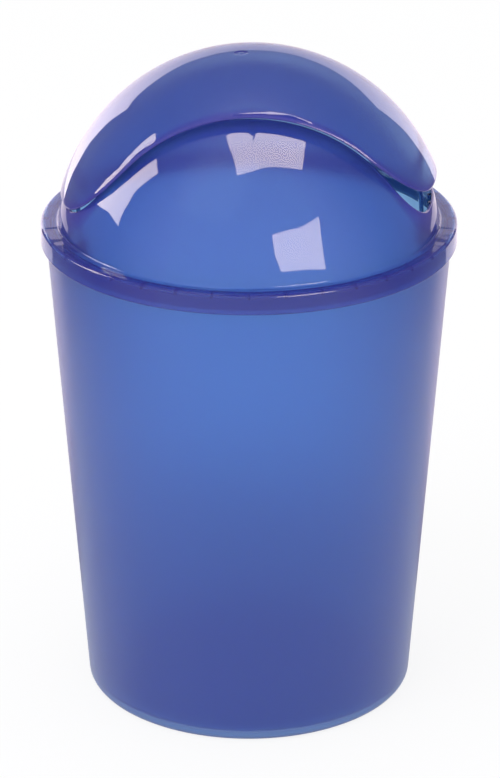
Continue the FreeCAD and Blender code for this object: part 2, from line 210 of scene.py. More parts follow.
def turned(azimuths, profiles):
    """A closed mesh from one profile per azimuth, given as the (radius, height) points outside and inside.

    Points on the axis are shared. The faces inside take the second material.
    """
    mesh = bmesh.new()
    shared = {}
    columns = []
    for azimuth, (outside, inside) in zip(azimuths, profiles):
        column = []
        for place, (radius, height) in enumerate(outside + inside):
            if radius > 0:
                across = Vector((math.cos(azimuth), math.sin(azimuth), 0)) * radius
                column.append(mesh.verts.new((across + Vector((0, 0, height))) * MM))
                continue
            if place not in shared:
                shared[place] = mesh.verts.new(Vector((0, 0, height)) * MM)
            column.append(shared[place])
        columns.append(column)
    for column, following in zip(columns, columns[1:] + columns[:1]):
        for place, vertex in enumerate(column):
            above = (place + 1) % len(column)
            corners = dict.fromkeys([vertex, column[above], following[above], following[place]])
            if len(corners) > 2:
                mesh.faces.new(corners).material_index = int(place >= len(outside))
    bmesh.ops.recalc_face_normals(mesh, faces=mesh.faces)
    return mesh


def prism(outline, place_near, place_far):
    """A closed mesh between two copies of an outline, each point placed by a function of (across, up)."""
    mesh = bmesh.new()
    near = [mesh.verts.new(place_near(*point) * MM) for point in outline]
    far = [mesh.verts.new(place_far(*point) * MM) for point in outline]
    mesh.faces.new(near)
    mesh.faces.new(list(reversed(far)))
    for number in range(len(outline)):
        following = (number + 1) % len(outline)
        mesh.faces.new([near[number], far[number], far[following], near[following]])
    bmesh.ops.recalc_face_normals(mesh, faces=mesh.faces)
    return mesh


def piece(name, mesh, body, materials, rounding=0.0):
    """An object made of a mesh that is in place, which rides on a body. rounding bevels its edges."""
    data = bpy.data.meshes.new(name)
    mesh.to_mesh(data)
    mesh.free()
    data.shade_smooth()
    for material in materials:
        data.materials.append(material)
    thing = bpy.data.objects.new(name, data)
    bpy.context.scene.collection.objects.link(thing)
    if rounding:
        bevel = thing.modifiers.new("rounded_edges", "BEVEL")
        bevel.width = rounding * MM
        bevel.segments = BEVEL_STEPS
        bevel.limit_method = "ANGLE"
    thing.modifiers.new("even_shading", "WEIGHTED_NORMAL")
    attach(thing, body)
    return thing


def on_sphere(radius, angle):
    """The (across, up) point of a sphere about the pivot, at an angle above the pivot's level."""
    return Vector((math.cos(angle), math.sin(angle))) * radius


def within(across, up, half_width, low, corner):
    """Whether a point of the side view is inside an edge with upright sides and rounded lower corners."""
    across = abs(across)
    beside = across - (half_width - corner)
    below = low + corner - up
    if beside > 0 and below > 0:
        return math.hypot(beside, below) < corner
    return across < half_width and up > low


def edge_angle(azimuth, radius, edge):
    """The angle above the pivot's level at which a sphere passes inside an edge of the side view."""
    low, high = 0.0, QUARTER_TURN
    for _ in range(EDGE_SEARCH_STEPS):
        middle = (low + high) / 2
        level_radius, up = on_sphere(radius, middle)
        if within(level_radius * math.sin(azimuth), up, *edge):
            high = middle
        else:
            low = middle
    return high


def wall_end(azimuth, outer_radius, wall, edge, side, lip_length):
    """Where a spherical wall ends: the last angles of its outer and inner faces, and its rounded lip.

    side is -1 where the wall lies below the edge and 1 where it lies above.
    """
    inner_radius = outer_radius - wall
    outer_edge = edge_angle(azimuth, outer_radius, edge)
    inner_edge = edge_angle(azimuth, inner_radius, edge)
    outer_end = outer_edge + side * lip_length / outer_radius
    inner_end = inner_edge + side * wall * INNER_LIP_SHARE / inner_radius
    start = on_sphere(outer_radius, outer_end)
    end = on_sphere(inner_radius, inner_end)
    middle = (start + end) / 2
    tip = (on_sphere(outer_radius, outer_edge) + on_sphere(inner_radius, inner_edge)) / 2
    lip = []
    for step in range(1, LIP_STEPS):
        turn = math.pi * step / LIP_STEPS
        lip.append(middle + (start - middle) * math.cos(turn) + (tip - middle) * math.sin(turn))
    return outer_end, inner_end, lip


def even_azimuths(count):
    """That many azimuths round a full turn."""
    return [FULL_TURN * step / count for step in range(count)]


def make_tub(materials):
    """The tapered tub: rounded base on a foot ring, plain wall, rounded rim and a flat floor inside."""
    floor_top = FOOT_HEIGHT + FLOOR_THICKNESS
    floor_radius = BASE_RADIUS + WALL_SLOPE * floor_top - BODY_WALL
    foot_inner = BASE_RADIUS - BASE_EDGE_RADIUS - FOOT_WIDTH
    profile = with_even_runs(rounded([
        (0, FOOT_HEIGHT, 0),
        (foot_inner, FOOT_HEIGHT, FOOT_ROUNDING),
        (foot_inner, 0, FOOT_ROUNDING),
        (BASE_RADIUS, 0, BASE_EDGE_RADIUS),
        (RIM_RADIUS, BODY_HEIGHT, RIM_ROUNDING),
        (RIM_RADIUS - BODY_WALL, BODY_HEIGHT, RIM_ROUNDING),
        (floor_radius, floor_top, FLOOR_CORNER_RADIUS),
        (0, floor_top, 0),
    ]))
    azimuths = even_azimuths(TUB_COLUMNS)
    mesh = turned(azimuths, [(profile, [])] * len(azimuths))
    tub = piece("tub_moulding", mesh, "tub", materials)
    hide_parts("body_shell")


def sink(azimuth):
    """How far the ledge has sunk over its seat ribs, which cool last."""
    spacing = FULL_TURN / SEAT_RIB_COUNT
    sideways = COLLAR_TOP_RADIUS * ((azimuth + spacing / 2) % spacing - spacing / 2)
    return SINK_DEPTH * math.exp(-(sideways / SINK_WIDTH) ** 2)


def weld_azimuth():
    """Where the two flows of plastic met, near the middle of the bonnet's front."""
    return 3 * QUARTER_TURN + WELD_SIDEWAYS / MOUTH_HALF_WIDTH


def weld(azimuth, below_edge, level_radius):
    """Depth of the weld line, which fades out below the flap's edge."""
    sideways = level_radius * (azimuth - weld_azimuth())
    fade = max(0.0, 1 - max(0.0, below_edge - FLAP_OVERLAP) / WELD_LENGTH) ** 2
    return WELD_DEPTH * fade * math.exp(-abs(sideways) / WELD_WIDTH)


def bonnet_profile(azimuth):
    """Collar, ledge, dome up to the mouth's edge, and back inside past the locating skirt to the collar."""
    foot_angle = math.asin((LEDGE_TOP - PIVOT) / DOME_OUTER)
    foot_lean = Vector((-math.sin(foot_angle), math.cos(foot_angle)))
    foot_run = LEDGE_FILLET / math.tan((QUARTER_TURN + foot_angle) / 2)
    ledge = LEDGE_TOP - sink(azimuth)
    # The dome's curve starts a little above the fillet at its foot
    above_foot = Vector((DOME_FOOT, ledge)) + foot_lean * foot_run * 2
    outside = rounded([
        (COLLAR_LOW_RADIUS - COLLAR_WALL, COLLAR_LOW, 0),
        (COLLAR_LOW_RADIUS, COLLAR_LOW, COLLAR_LIP_ROUNDING),
        (COLLAR_TOP_RADIUS, ledge, COLLAR_EDGE_RADIUS),
        (DOME_FOOT, ledge, LEDGE_FILLET),
        (*above_foot, 0),
    ])[1:-1]
    outer_end, inner_end, lip = wall_end(azimuth, DOME_OUTER, DOME_WALL, MOUTH_EDGE, -1, MOUTH_LIP)
    dome_start = foot_angle + 2 * foot_run / DOME_OUTER
    dome = []
    for row in range(DOME_ROWS + 1):
        angle = dome_start + (outer_end - dome_start) * row / DOME_ROWS
        depth = weld(azimuth, (outer_end - angle) * DOME_OUTER, DOME_OUTER * math.cos(angle))
        dome.append(on_sphere(DOME_OUTER - depth, angle) + Vector((0, PIVOT)))
    inner_start = math.asin((LEDGE_UNDER - PIVOT) / DOME_INNER)
    hollow = []
    for row in range(DOME_ROWS):
        angle = inner_end + (inner_start - inner_end) * row / DOME_ROWS
        hollow.append(on_sphere(DOME_INNER, angle) + Vector((0, PIVOT)))
    under = rounded([
        (*(on_sphere(DOME_INNER, inner_start) + Vector((0, PIVOT))), 0),
        (LOCATOR_INNER, LEDGE_UNDER, HIDDEN_ROUNDING),
        (LOCATOR_INNER, BODY_HEIGHT - LOCATOR_DEPTH, HIDDEN_ROUNDING),
        (LOCATOR_OUTER, BODY_HEIGHT - LOCATOR_DEPTH, HIDDEN_ROUNDING),
        (LOCATOR_OUTER, LEDGE_UNDER, HIDDEN_ROUNDING),
        (COLLAR_TOP_RADIUS - COLLAR_WALL, LEDGE_UNDER, HIDDEN_ROUNDING),
        (COLLAR_LOW_RADIUS - COLLAR_WALL, COLLAR_LOW, HIDDEN_ROUNDING),
        (COLLAR_LOW_RADIUS, COLLAR_LOW, 0),
    ])[:-1]
    return outside + dome + [point + Vector((0, PIVOT)) for point in lip], hollow + under


def mark_painted_edge_shade(mesh, centre, radius, edge, width):
    """Marks how much painted shade a spherical wall takes within a width of its edge, from 0 up to 1 at the
    edge.
    """
    shade_layer = mesh.verts.layers.float.new(EDGE_SHADE_MARK)
    for vertex in mesh.verts:
        place = vertex.co / MM - centre
        azimuth = math.atan2(place.y, place.x)
        level = math.asin(place.normalized().z)
        distance = abs(edge_angle(azimuth, radius, edge) - level) * radius
        vertex[shade_layer] = max(0.0, 1 - distance / width)


def bonnet_azimuths():
    """Even azimuths round the bonnet, with close ones in their place across the weld line."""
    step = FULL_TURN / COLUMNS
    span = step * WELD_SPAN
    close = [weld_azimuth() + span * (place / WELD_COLUMNS - 0.5) for place in range(WELD_COLUMNS + 1)]
    first = close[0] - step / 2
    last = close[-1] + step / 2
    even = [azimuth for azimuth in even_azimuths(COLUMNS) if not first < azimuth < last]
    return sorted(close + even)


def make_bonnet(materials):
    """The bonnet's one shell of collar, ledge, dome and locating skirt."""
    azimuths = bonnet_azimuths()
    mesh = turned(azimuths, [bonnet_profile(azimuth) for azimuth in azimuths])
    # Paints shade on the dome near the mouth's edge, where it lies under the flap
    mark_painted_edge_shade(mesh, DOME_CENTRE, DOME_OUTER, MOUTH_EDGE, MOUTH_SHADE_WIDTH)
    bonnet = piece("bonnet_moulding", mesh, "bonnet", materials)
    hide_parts("bonnet")


def make_seat_ribs(materials):
    """The short ribs under the ledge that carry the bonnet on the tub's rim."""
    mesh = bmesh.new()
    inside = LOCATOR_OUTER - LOCATOR_WALL / 2
    outside = COLLAR_TOP_RADIUS - COLLAR_WALL / 2
    low = BODY_HEIGHT + SEAT_RIB_LIFT
    high = LEDGE_UNDER + LEDGE_THICKNESS / 2
    size = Vector((outside - inside, SEAT_RIB_WIDTH, high - low))
    centre = Vector((inside + outside, 0, low + high)) / 2
    rib = Matrix.Translation(centre * MM) @ Matrix.Diagonal((*size * MM, 1))
    for azimuth in even_azimuths(SEAT_RIB_COUNT):
        bmesh.ops.create_cube(mesh, size=1, matrix=Matrix.Rotation(azimuth, 4, "Z") @ rib)
    piece("bonnet_seat_ribs", mesh, "bonnet", materials, SEAT_RIB_ROUNDING)


def make_lug(side, name, materials):
    """A bearing lug inside the bonnet: a block with a round bottomed channel that is open at the top.

    A plain block behind it closes the channel's far end.
    """
    half_width = CHANNEL_RADIUS + LUG_WALL
    top = SILL_POINT.z - LUG_TOP_INSET - PIVOT
    block = [(half_width, top), (half_width, -half_width), (-half_width, -half_width), (-half_width, top)]
    channel = [(-CHANNEL_RADIUS, top)]
    for step in range(2 * ARC_STEPS + 1):
        turn = math.pi * step / (2 * ARC_STEPS)
        channel.append((-CHANNEL_RADIUS * math.cos(turn), -CHANNEL_RADIUS * math.sin(turn)))
    channel.append((CHANNEL_RADIUS, top))
    channel_end = LUG_FACE + CHANNEL_DEPTH

    def at_wall(across, up):
        """A point in the middle of the dome's wall."""
        reach = math.sqrt((DOME_OUTER - DOME_WALL / 2) ** 2 - across ** 2 - up ** 2)
        return Vector((side * reach, across, PIVOT + up))

    def at_face(across, up):
        """A point on the lug's face, towards the arm."""
        return Vector((side * LUG_FACE, across, PIVOT + up))

    def at_end(across, up):
        """A point at the channel's far end, or short of the dome's wall where that comes first."""
        reach = min(channel_end, abs(at_wall(across, up).x) - DOME_WALL)
        return Vector((side * reach, across, PIVOT + up))

    lug = prism(block + channel, at_face, at_wall)
    piece(f"bonnet_lug_{name}", lug, "bonnet", materials, LUG_ROUNDING)
    back = prism(block, at_end, at_wall)
    piece(f"bonnet_lug_back_{name}", back, "bonnet", materials, LUG_ROUNDING)


def gate(distance):
    """Depth of the round gate mark at the flap's pole: a dished ring about a small nub."""
    dish = max(0.0, 1 - (distance / GATE_RADIUS) ** GATE_FLATNESS)
    nub = math.exp(-(distance / GATE_NUB_RADIUS) ** 2)
    return GATE_DEPTH * dish - GATE_NUB_HEIGHT * nub


def flap_profile(azimuth):
    """The flap's outer face from its pole, its lip, and its inner face back to the pole."""
    outer_end, inner_end, lip = wall_end(azimuth, FLAP_OUTER, FLAP_WALL, FLAP_EDGE, 1, FLAP_LIP)
    # The rows are closer together out to twice the gate mark's radius
    gate_edge = QUARTER_TURN - 2 * GATE_RADIUS / FLAP_OUTER
    profile = [Vector((0, FLAP_OUTER - gate(0)))]
    for row in range(1, FLAP_ROWS):
        angle = QUARTER_TURN + (gate_edge - QUARTER_TURN) * row / FLAP_ROWS
        profile.append(on_sphere(FLAP_OUTER - gate((QUARTER_TURN - angle) * FLAP_OUTER), angle))
    for row in range(FLAP_ROWS + 1):
        angle = gate_edge + (outer_end - gate_edge) * row / FLAP_ROWS
        profile.append(on_sphere(FLAP_OUTER, angle))
    hollow = []
    for row in range(FLAP_ROWS):
        angle = inner_end + (QUARTER_TURN - inner_end) * row / FLAP_ROWS
        hollow.append(on_sphere(FLAP_OUTER - FLAP_WALL, angle))
    return profile + lip, hollow + [Vector((0, FLAP_OUTER - FLAP_WALL))]


def flap_place():
    """How the flap stands at rest: its pivot where the frame has it, its right end tilted up."""
    return Matrix.Translation(FLAP_CENTRE * MM) @ FLAP_TILT.to_4x4()


def make_flap(materials):
    """The flap's spherical shell."""
    azimuths = even_azimuths(COLUMNS)
    mesh = turned(azimuths, [flap_profile(azimuth) for azimuth in azimuths])
    # Paints shade on the flap near its edge
    mark_painted_edge_shade(mesh, Vector(), FLAP_OUTER, FLAP_EDGE, FLAP_EDGE_SHADE_WIDTH)
    mesh.transform(flap_place())
    flap = piece("flap_moulding", mesh, "flap", materials)
    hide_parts("flap")


def arm_reach(turn):
    """Radius of the arm's outline about the pin, at a turn from straight up: a hub and tapered sides."""
    taper = (ARM_ROOT_HALF_WIDTH - ARM_HUB_RADIUS) / FLAP_OUTER
    closing = abs(math.sin(turn)) - taper * math.cos(turn)
    if math.cos(turn) < 0:
        return ARM_HUB_RADIUS
    if closing <= 0:
        return FLAP_MIDDLE
    return min(FLAP_MIDDLE, ARM_HUB_RADIUS / closing)


def arm_profile(turn):
    """The arm's section at a turn about the pin, from the bore out to its edge or into the flap's wall."""
    bore = PIN_RADIUS + BORE_CLEARANCE
    half = ARM_THICKNESS / 2
    near = min(arm_reach(turn), math.sqrt(FLAP_MIDDLE ** 2 - (ARM_MIDDLE - half) ** 2))
    far = min(arm_reach(turn), math.sqrt(FLAP_MIDDLE ** 2 - (ARM_MIDDLE + half) ** 2))
    return rounded([
        (bore, -half, ARM_ROUNDING),
        (near, -half, ARM_ROUNDING),
        (far, half, ARM_ROUNDING),
        (bore, half, ARM_ROUNDING),
    ]), []


def make_arm(side, name, materials):
    """An arm of the flap, turned about the pin's axis."""
    turns = even_azimuths(ARM_COLUMNS)
    mesh = turned(turns, [arm_profile(turn) for turn in turns])
    # Lays the axis that the sections are turned about along the pin
    upright = Matrix(((0, 0, side, 0), (0, 1, 0, 0), (1, 0, 0, 0), (0, 0, 0, 1)))
    mesh.transform(flap_place() @ Matrix.Translation(Vector((side * ARM_MIDDLE, 0, 0)) * MM) @ upright)
    bmesh.ops.recalc_face_normals(mesh, faces=mesh.faces)
    piece(f"flap_arm_{name}", mesh, "flap", materials)


# Plastics: the tint that light takes at a face, between a paler and a deeper flow, and the share of the
# light that the pigment scatters
PLASTIC_IOR = 1.49
PIGMENT = "#4E49CA"
TUB_PALE = "#8ABFE6"
TUB_DEEP = "#82B9DE"
TUB_PIGMENT_SHARE = 0.25
GLOSS_PALE = "#80AED6"
GLOSS_DEEP = "#7BA9D0"
BONNET_PIGMENT_SHARE = 0.24
FLAP_PALE = "#7CA8D0"
FLAP_DEEP = "#76A2CA"
FLAP_PIGMENT_SHARE = 0.22
# How far apart the flows lie
TUB_FLOW = 90.0
GLOSS_FLOW = 60.0
# The darker tint, and the pigment's added share, painted on as shade near the edges of the mouth and the
# flap
EDGE_SHADE_TINT = "#56569E"
EDGE_SHADE_PIGMENT_SHARE = 0.12
# Roughness of the frosted tub, of the polished faces and of the faces inside, and how it varies
TUB_HAZE = 0.32
TUB_HAZE_SPREAD = 0.04
POLISH = 0.05
INSIDE_HAZE = 0.22
SMOOTHEST_SHARE = 0.7
# The mould's grit is about 0.2 mm, drawn at 0.9 mm so that it shows
GRIT_SPACING = 0.9
GRIT_DEPTH = 0.02
GRIT_STRENGTH = 0.5
# Uneven shrinkage leaves long waves in the polished skin
WAVE_LENGTH = 26.0
WAVE_DEPTH = 0.25
# The pins
ACETAL_IOR = 1.48
ACETAL_PALE = "#3A55A8"
ACETAL_DEEP = "#324A9A"
ACETAL_SMOOTHEST = 0.22
ACETAL_ROUGHEST = 0.40
ACETAL_CLEAR_SHARE = 0.3
WEAR_SPACING = 3.0


def linear(hex_colour):
    """The linear colour, with alpha, of an sRGB hex value."""
    parts = [int(hex_colour[place:place + 2], 16) / 255 for place in (1, 3, 5)]
    return [part / 12.92 if part <= 0.04045 else ((part + 0.055) / 1.055) ** 2.4 for part in parts] + [1.0]


def add(tree, kind, inputs, **fields):
    """Adds a shader node with its fields set. Each input is a value, or a (node, output) pair to link."""
    made = tree.nodes.new("ShaderNode" + kind)
    for field, value in fields.items():
        setattr(made, field, value)
    for socket, value in inputs.items():
        if isinstance(value, tuple) and isinstance(value[0], bpy.types.Node):
            tree.links.new(value[0].outputs[value[1]], made.inputs[socket])
        else:
            made.inputs[socket].default_value = value
    return made


def new_tree(name):
    """An empty node tree of a new material."""
    material = bpy.data.materials.new(name)
    material.use_nodes = True
    material.node_tree.nodes.clear()
    return material, material.node_tree


def per_metre(millimetres):
    """Scale of a texture whose features are that far apart."""
    return 1 / (millimetres * MM)


def cloudy_plastic(tree, tint, roughness, normal, pigment_share):
    """Ends a material as tinted plastic: most light passes through, and the pigment scatters the rest."""
    surface = {"Roughness": roughness, "Normal": normal, "IOR": PLASTIC_IOR}
    clear = add(tree, "BsdfPrincipled", {"Base Color": tint, "Transmission Weight": 1.0, **surface})
    pigment = add(tree, "BsdfPrincipled", {"Base Color": linear(PIGMENT), **surface})
    plastic = add(tree, "MixShader", {0: pigment_share, 1: (clear, "BSDF"), 2: (pigment, "BSDF")})
    add(tree, "OutputMaterial", {"Surface": (plastic, "Shader")})


def frosted_polypropylene():
    """Tinted polypropylene from a spark-eroded mould: it lets light through, but blurs what is behind it.

    The eye gets a soft blue glow, paler towards the outline, and no sharp reflection.
    """
    material, tree = new_tree("frosted_polypropylene")
    place = add(tree, "TexCoord", {})
    flow = add(tree, "TexNoise", {"Vector": (place, "Object"), "Scale": per_metre(TUB_FLOW), "Detail": 3.0})
    tint = add(tree, "Mix", {0: (flow, "Fac"), 6: linear(TUB_PALE), 7: linear(TUB_DEEP)}, data_type="RGBA")
    grit = add(tree, "TexNoise", {
        "Vector": (place, "Object"),
        "Scale": per_metre(GRIT_SPACING),
        "Detail": 2.0,
    })
    haze = add(tree, "MapRange", {
        "Value": (grit, "Fac"),
        "To Min": TUB_HAZE - TUB_HAZE_SPREAD,
        "To Max": TUB_HAZE + TUB_HAZE_SPREAD,
    })
    bump = add(tree, "Bump", {
        "Height": (grit, "Fac"),
        "Distance": GRIT_DEPTH * MM,
        "Strength": GRIT_STRENGTH,
    })
    cloudy_plastic(tree, (tint, 2), (haze, "Result"), (bump, "Normal"), TUB_PIGMENT_SHARE)
    return material


def gloss_polypropylene(name, pale, deep, roughest, pigment_share):
    """Tinted clarified polypropylene from a mould that is polished outside and plain inside.

    The eye gets crisp white reflections outside, over a soft, deep blue, and a hazed face inside. Near the
    edges of the mouth and the flap a darker, more pigmented tint is painted on as shade.
    """
    material, tree = new_tree(name)
    place = add(tree, "TexCoord", {})
    flow = add(tree, "TexNoise", {
        "Vector": (place, "Object"),
        "Scale": per_metre(GLOSS_FLOW),
        "Detail": 3.0,
    })
    tint = add(tree, "Mix", {0: (flow, "Fac"), 6: linear(pale), 7: linear(deep)}, data_type="RGBA")
    # Painted shade: near the edges of the mouth and the flap the tint is deepened towards a darker one
    painted_shade = add(tree, "Attribute", {}, attribute_name=EDGE_SHADE_MARK)
    tint = add(tree, "Mix", {0: (painted_shade, "Fac"), 6: (tint, 2), 7: linear(EDGE_SHADE_TINT)}, data_type="RGBA")
    waves = add(tree, "TexNoise", {
        "Vector": (place, "Object"),
        "Scale": per_metre(WAVE_LENGTH),
        "Detail": 1.0,
    })
    skin = add(tree, "Bump", {"Height": (waves, "Fac"), "Distance": WAVE_DEPTH * MM, "Strength": 1.0})
    haze = add(tree, "MapRange", {
        "Value": (flow, "Fac"),
        "To Min": roughest * SMOOTHEST_SHARE,
        "To Max": roughest,
    })
    # Painted shade: the pigment's share grows near those edges too
    shares = {0: (painted_shade, "Fac"), 1: EDGE_SHADE_PIGMENT_SHARE, 2: pigment_share}
    share = add(tree, "Math", shares, operation="MULTIPLY_ADD")
    cloudy_plastic(tree, (tint, 2), (haze, "Result"), (skin, "Normal"), (share, 0))
    return material


def moulded_acetal():
    """Tinted acetal, for the pins: denser than the shells, with the satin of a worn bearing face."""
    material, tree = new_tree("moulded_acetal")
    place = add(tree, "TexCoord", {})
    wear = add(tree, "TexNoise", {
        "Vector": (place, "Object"),
        "Scale": per_metre(WEAR_SPACING),
        "Detail": 4.0,
    })
    tints = {0: (wear, "Fac"), 6: linear(ACETAL_PALE), 7: linear(ACETAL_DEEP)}
    tint = add(tree, "Mix", tints, data_type="RGBA")
    satin = add(tree, "MapRange", {
        "Value": (wear, "Fac"),
        "To Min": ACETAL_SMOOTHEST,
        "To Max": ACETAL_ROUGHEST,
    })
    plastic = add(tree, "BsdfPrincipled", {
        "Base Color": (tint, 2),
        "Roughness": (satin, "Result"),
        "IOR": ACETAL_IOR,
        "Transmission Weight": ACETAL_CLEAR_SHARE,
    })
    add(tree, "OutputMaterial", {"Surface": (plastic, "BSDF")})
    return material


# Camera: its place and its focal length in pixels, fitted to the rims and the dome in the 500 by 778 frame
FRAME_WIDTH = 500
FRAME_HEIGHT = 778
FOCAL_PIXELS = 3778.7
CAMERA_ELEVATION = math.radians(23.62)
CAMERA_DISTANCE = 2269.1
CAMERA_TARGET = Vector((0.6, 0, 186.5))
SENSOR = 36.0
LOOK = Vector((0, math.cos(CAMERA_ELEVATION), -math.sin(CAMERA_ELEVATION)))
LOOK_RIGHT = Vector((1, 0, 0))
LOOK_UP = LOOK_RIGHT.cross(LOOK)
CAMERA_PLACE = CAMERA_TARGET - LOOK * CAMERA_DISTANCE

# Studio: the white world, and the paper floor with the share of it that is drawn plain white where it is
# seen straight, and where it is seen through or in the plastic
WHITE = "#FFFFFF"
PAPER = "#F7F7F9"
FLOOR_HALF = 6000.0
FLOOR_GLOW_SHARE = 0.85
FLOOR_THROUGH_SHARE = 0.6
# The lamp, high up at the front left
LAMP_PLACE = Vector((-500, -700, 1500))
LAMP_SIZE = 900.0
LAMP_RADIANCE = 2.5
# Bright cards, by the pixels of the dome that mirror their corners. A face mirrors a card only from about
# the card's own distance, within a reach, so that the cards don't burn out the rims in views from behind.
CARD_DISTANCE = 500.0
CARD_REACH = 16.0
CARD_RADIANCE = 10.2
CARD_TINT = "#FFEEDE"
CARD_CORNERS = {
    "card_left": [(156, 146), (159, 172), (134, 193), (119, 226), (108, 212), (97, 203), (120, 179)],
    "card_top": [
        (227, 136), (245, 128), (268, 125), (307, 136),
        (304, 152), (303, 170), (280, 167), (262, 168), (236, 175), (234, 163),
    ],
    "card_right": [
        (271, 236), (300, 227), (319, 217), (322, 240),
        (326, 269), (304, 270), (280, 271), (274, 256),
    ],
}
# The curved white cove behind, brightest at its two ends and brighter on the left
COVE_TINT = "#FFF0F8"
COVE_RADIUS = 590.0
COVE_HALF_ANGLE = 40.5
COVE_HEIGHT = 540.0
COVE_RADIANCE = 0.85
COVE_END_RADIANCE = 3.0
COVE_LEFT_SHARE = 1.35
COVE_RIGHT_SHARE = 0.75
# Its foot, which the collar mirrors, and the floor before it, which the tub mirrors and shades
FOOT_RADIUS = 580.0
FOOT_HALF_ANGLE = 53.0
FOOT_CARD_HEIGHT = 200.0
FOOT_RADIANCE = 1.35
FLOOR_CARD_RADIUS = 106.0
FLOOR_SHADE_END = 330.0
FLOOR_SHADE_RADIANCE = 0.4
FLOOR_CARD_LEVEL = 2.0
FLOOR_CARD_RADIANCE = 1.3
# The dim room round it, which grows lighter overhead and towards the front
SURROUND_RADIUS = 600.0
SURROUND_HALF_ANGLE = 135.0
SURROUND_HEIGHT = 2400.0
SURROUND_RADIANCE = 0.3
SURROUND_LIGHTEST = 1.0
SURROUND_LIGHTER_ABOVE = 900.0
SURROUND_LIGHTER_BEFORE = -100.0
RING_STEPS = 48
# A bright patch of the floor behind, which shows through the plastic
GLOW_HALF_WIDTH = 150.0
GLOW_NEAR = 280.0
GLOW_FAR = 900.0
GLOW_LEVEL = 1.0
GLOW_RADIANCE = 2.55


def make_camera():
    """The camera at the photograph's angle."""
    data = bpy.data.cameras.new("camera")
    data.sensor_fit = "VERTICAL"
    data.sensor_height = SENSOR
    data.lens = FOCAL_PIXELS / FRAME_HEIGHT * SENSOR
    camera = bpy.data.objects.new("camera", data)
    camera.location = CAMERA_PLACE * MM
    camera.rotation_euler = LOOK.to_track_quat("-Z", "Y").to_euler()
    bpy.context.scene.collection.objects.link(camera)
    bpy.context.scene.camera = camera


def mirrored(pixel):
    """The point that the dome mirrors to a pixel, at the cards' distance."""
    across, down = pixel
    sideways = LOOK_RIGHT * (across - FRAME_WIDTH / 2)
    downwards = -LOOK_UP * (down - FRAME_HEIGHT / 2)
    ray = (LOOK * FOCAL_PIXELS + sideways + downwards).normalized()
    to_camera = CAMERA_PLACE - DOME_CENTRE
    half = to_camera.dot(ray)
    reach = -half - math.sqrt(half ** 2 - to_camera.length_squared + DOME_OUTER ** 2)
    hit = CAMERA_PLACE + ray * reach
    normal = (hit - DOME_CENTRE).normalized()
    return hit + (ray - normal * 2 * ray.dot(normal)) * CARD_DISTANCE


def make_card(name, faces, radiance, tint=COVE_TINT, seen_through=False):
    """A bright sheet of the studio, from faces of points in millimetres.

    It shows in reflections only, or if it is seen_through, through the plastic only.
    """
    mesh = bmesh.new()
    for corners in faces:
        mesh.faces.new([mesh.verts.new(corner * MM) for corner in corners])
    data = bpy.data.meshes.new(name)
    mesh.to_mesh(data)
    mesh.free()
    material, tree = new_tree(name)
    material.cycles.emission_sampling = "NONE"
    glow = add(tree, "Emission", {"Color": linear(tint), "Strength": radiance})
    add(tree, "OutputMaterial", {"Surface": (glow, "Emission")})
    data.materials.append(material)
    card = bpy.data.objects.new(name, data)
    card.visible_camera = False
    card.visible_diffuse = False
    card.visible_shadow = False
    card.visible_glossy = not seen_through
    card.visible_transmission = seen_through
    bpy.context.scene.collection.objects.link(card)
    return tree, glow


def graded(tree, axis, start, end, first, last):
    """A value that goes from first to last between two places along an axis, in millimetres."""
    place = add(tree, "NewGeometry", {})
    parts = add(tree, "SeparateXYZ", {0: (place, "Position")})
    return add(tree, "MapRange", {
        "Value": (parts, axis),
        "From Min": start * MM,
        "From Max": end * MM,
        "To Min": first,
        "To Max": last,
    })


def ring(half_angle, start, end):
    """Faces between two (radius, height) circles round the object, each way from straight behind it."""
    lines = []
    for step in range(RING_STEPS + 1):
        turn = math.radians(half_angle) * (2 * step / RING_STEPS - 1)
        out = Vector((math.sin(turn), math.cos(turn), 0))
        lines.append([out * radius + Vector((0, 0, height)) for radius, height in (start, end)])
    return [(*line, *reversed(following)) for line, following in zip(lines, lines[1:])]


def make_world():
    """A plain white world."""
    world = bpy.data.worlds.new("studio")
    world.use_nodes = True
    tree = world.node_tree
    tree.nodes.clear()
    sky = add(tree, "Background", {"Color": linear(WHITE), "Strength": 1.0})
    add(tree, "OutputWorld", {"Surface": (sky, "Background")})
    bpy.context.scene.world = world


def make_floor():
    """White paper that keeps the object's shadow, and is partly plain white where it is seen."""
    mesh = bmesh.new()
    bmesh.ops.create_grid(mesh, x_segments=1, y_segments=1, size=FLOOR_HALF * MM)
    data = bpy.data.meshes.new("floor")
    mesh.to_mesh(data)
    mesh.free()
    material, tree = new_tree("white_paper")
    paper = add(tree, "BsdfDiffuse", {"Color": linear(PAPER)})
    white = add(tree, "Emission", {"Color": linear(WHITE), "Strength": 1.0})
    path = add(tree, "LightPath", {})
    seen = add(tree, "Math", {0: (path, "Is Camera Ray"), 1: FLOOR_GLOW_SHARE}, operation="MULTIPLY")
    rays = {0: (path, "Is Glossy Ray"), 1: (path, "Is Transmission Ray")}
    other = add(tree, "Math", rays, operation="MAXIMUM")
    other = add(tree, "Math", {0: (other, 0), 1: FLOOR_THROUGH_SHARE}, operation="MULTIPLY")
    share = add(tree, "Math", {0: (seen, 0), 1: (other, 0)}, operation="MAXIMUM")
    lit = add(tree, "MixShader", {0: (share, 0), 1: (paper, "BSDF"), 2: (white, "Emission")})
    add(tree, "OutputMaterial", {"Surface": (lit, "Shader")})
    data.materials.append(material)
    floor = bpy.data.objects.new("floor", data)
    bpy.context.scene.collection.objects.link(floor)


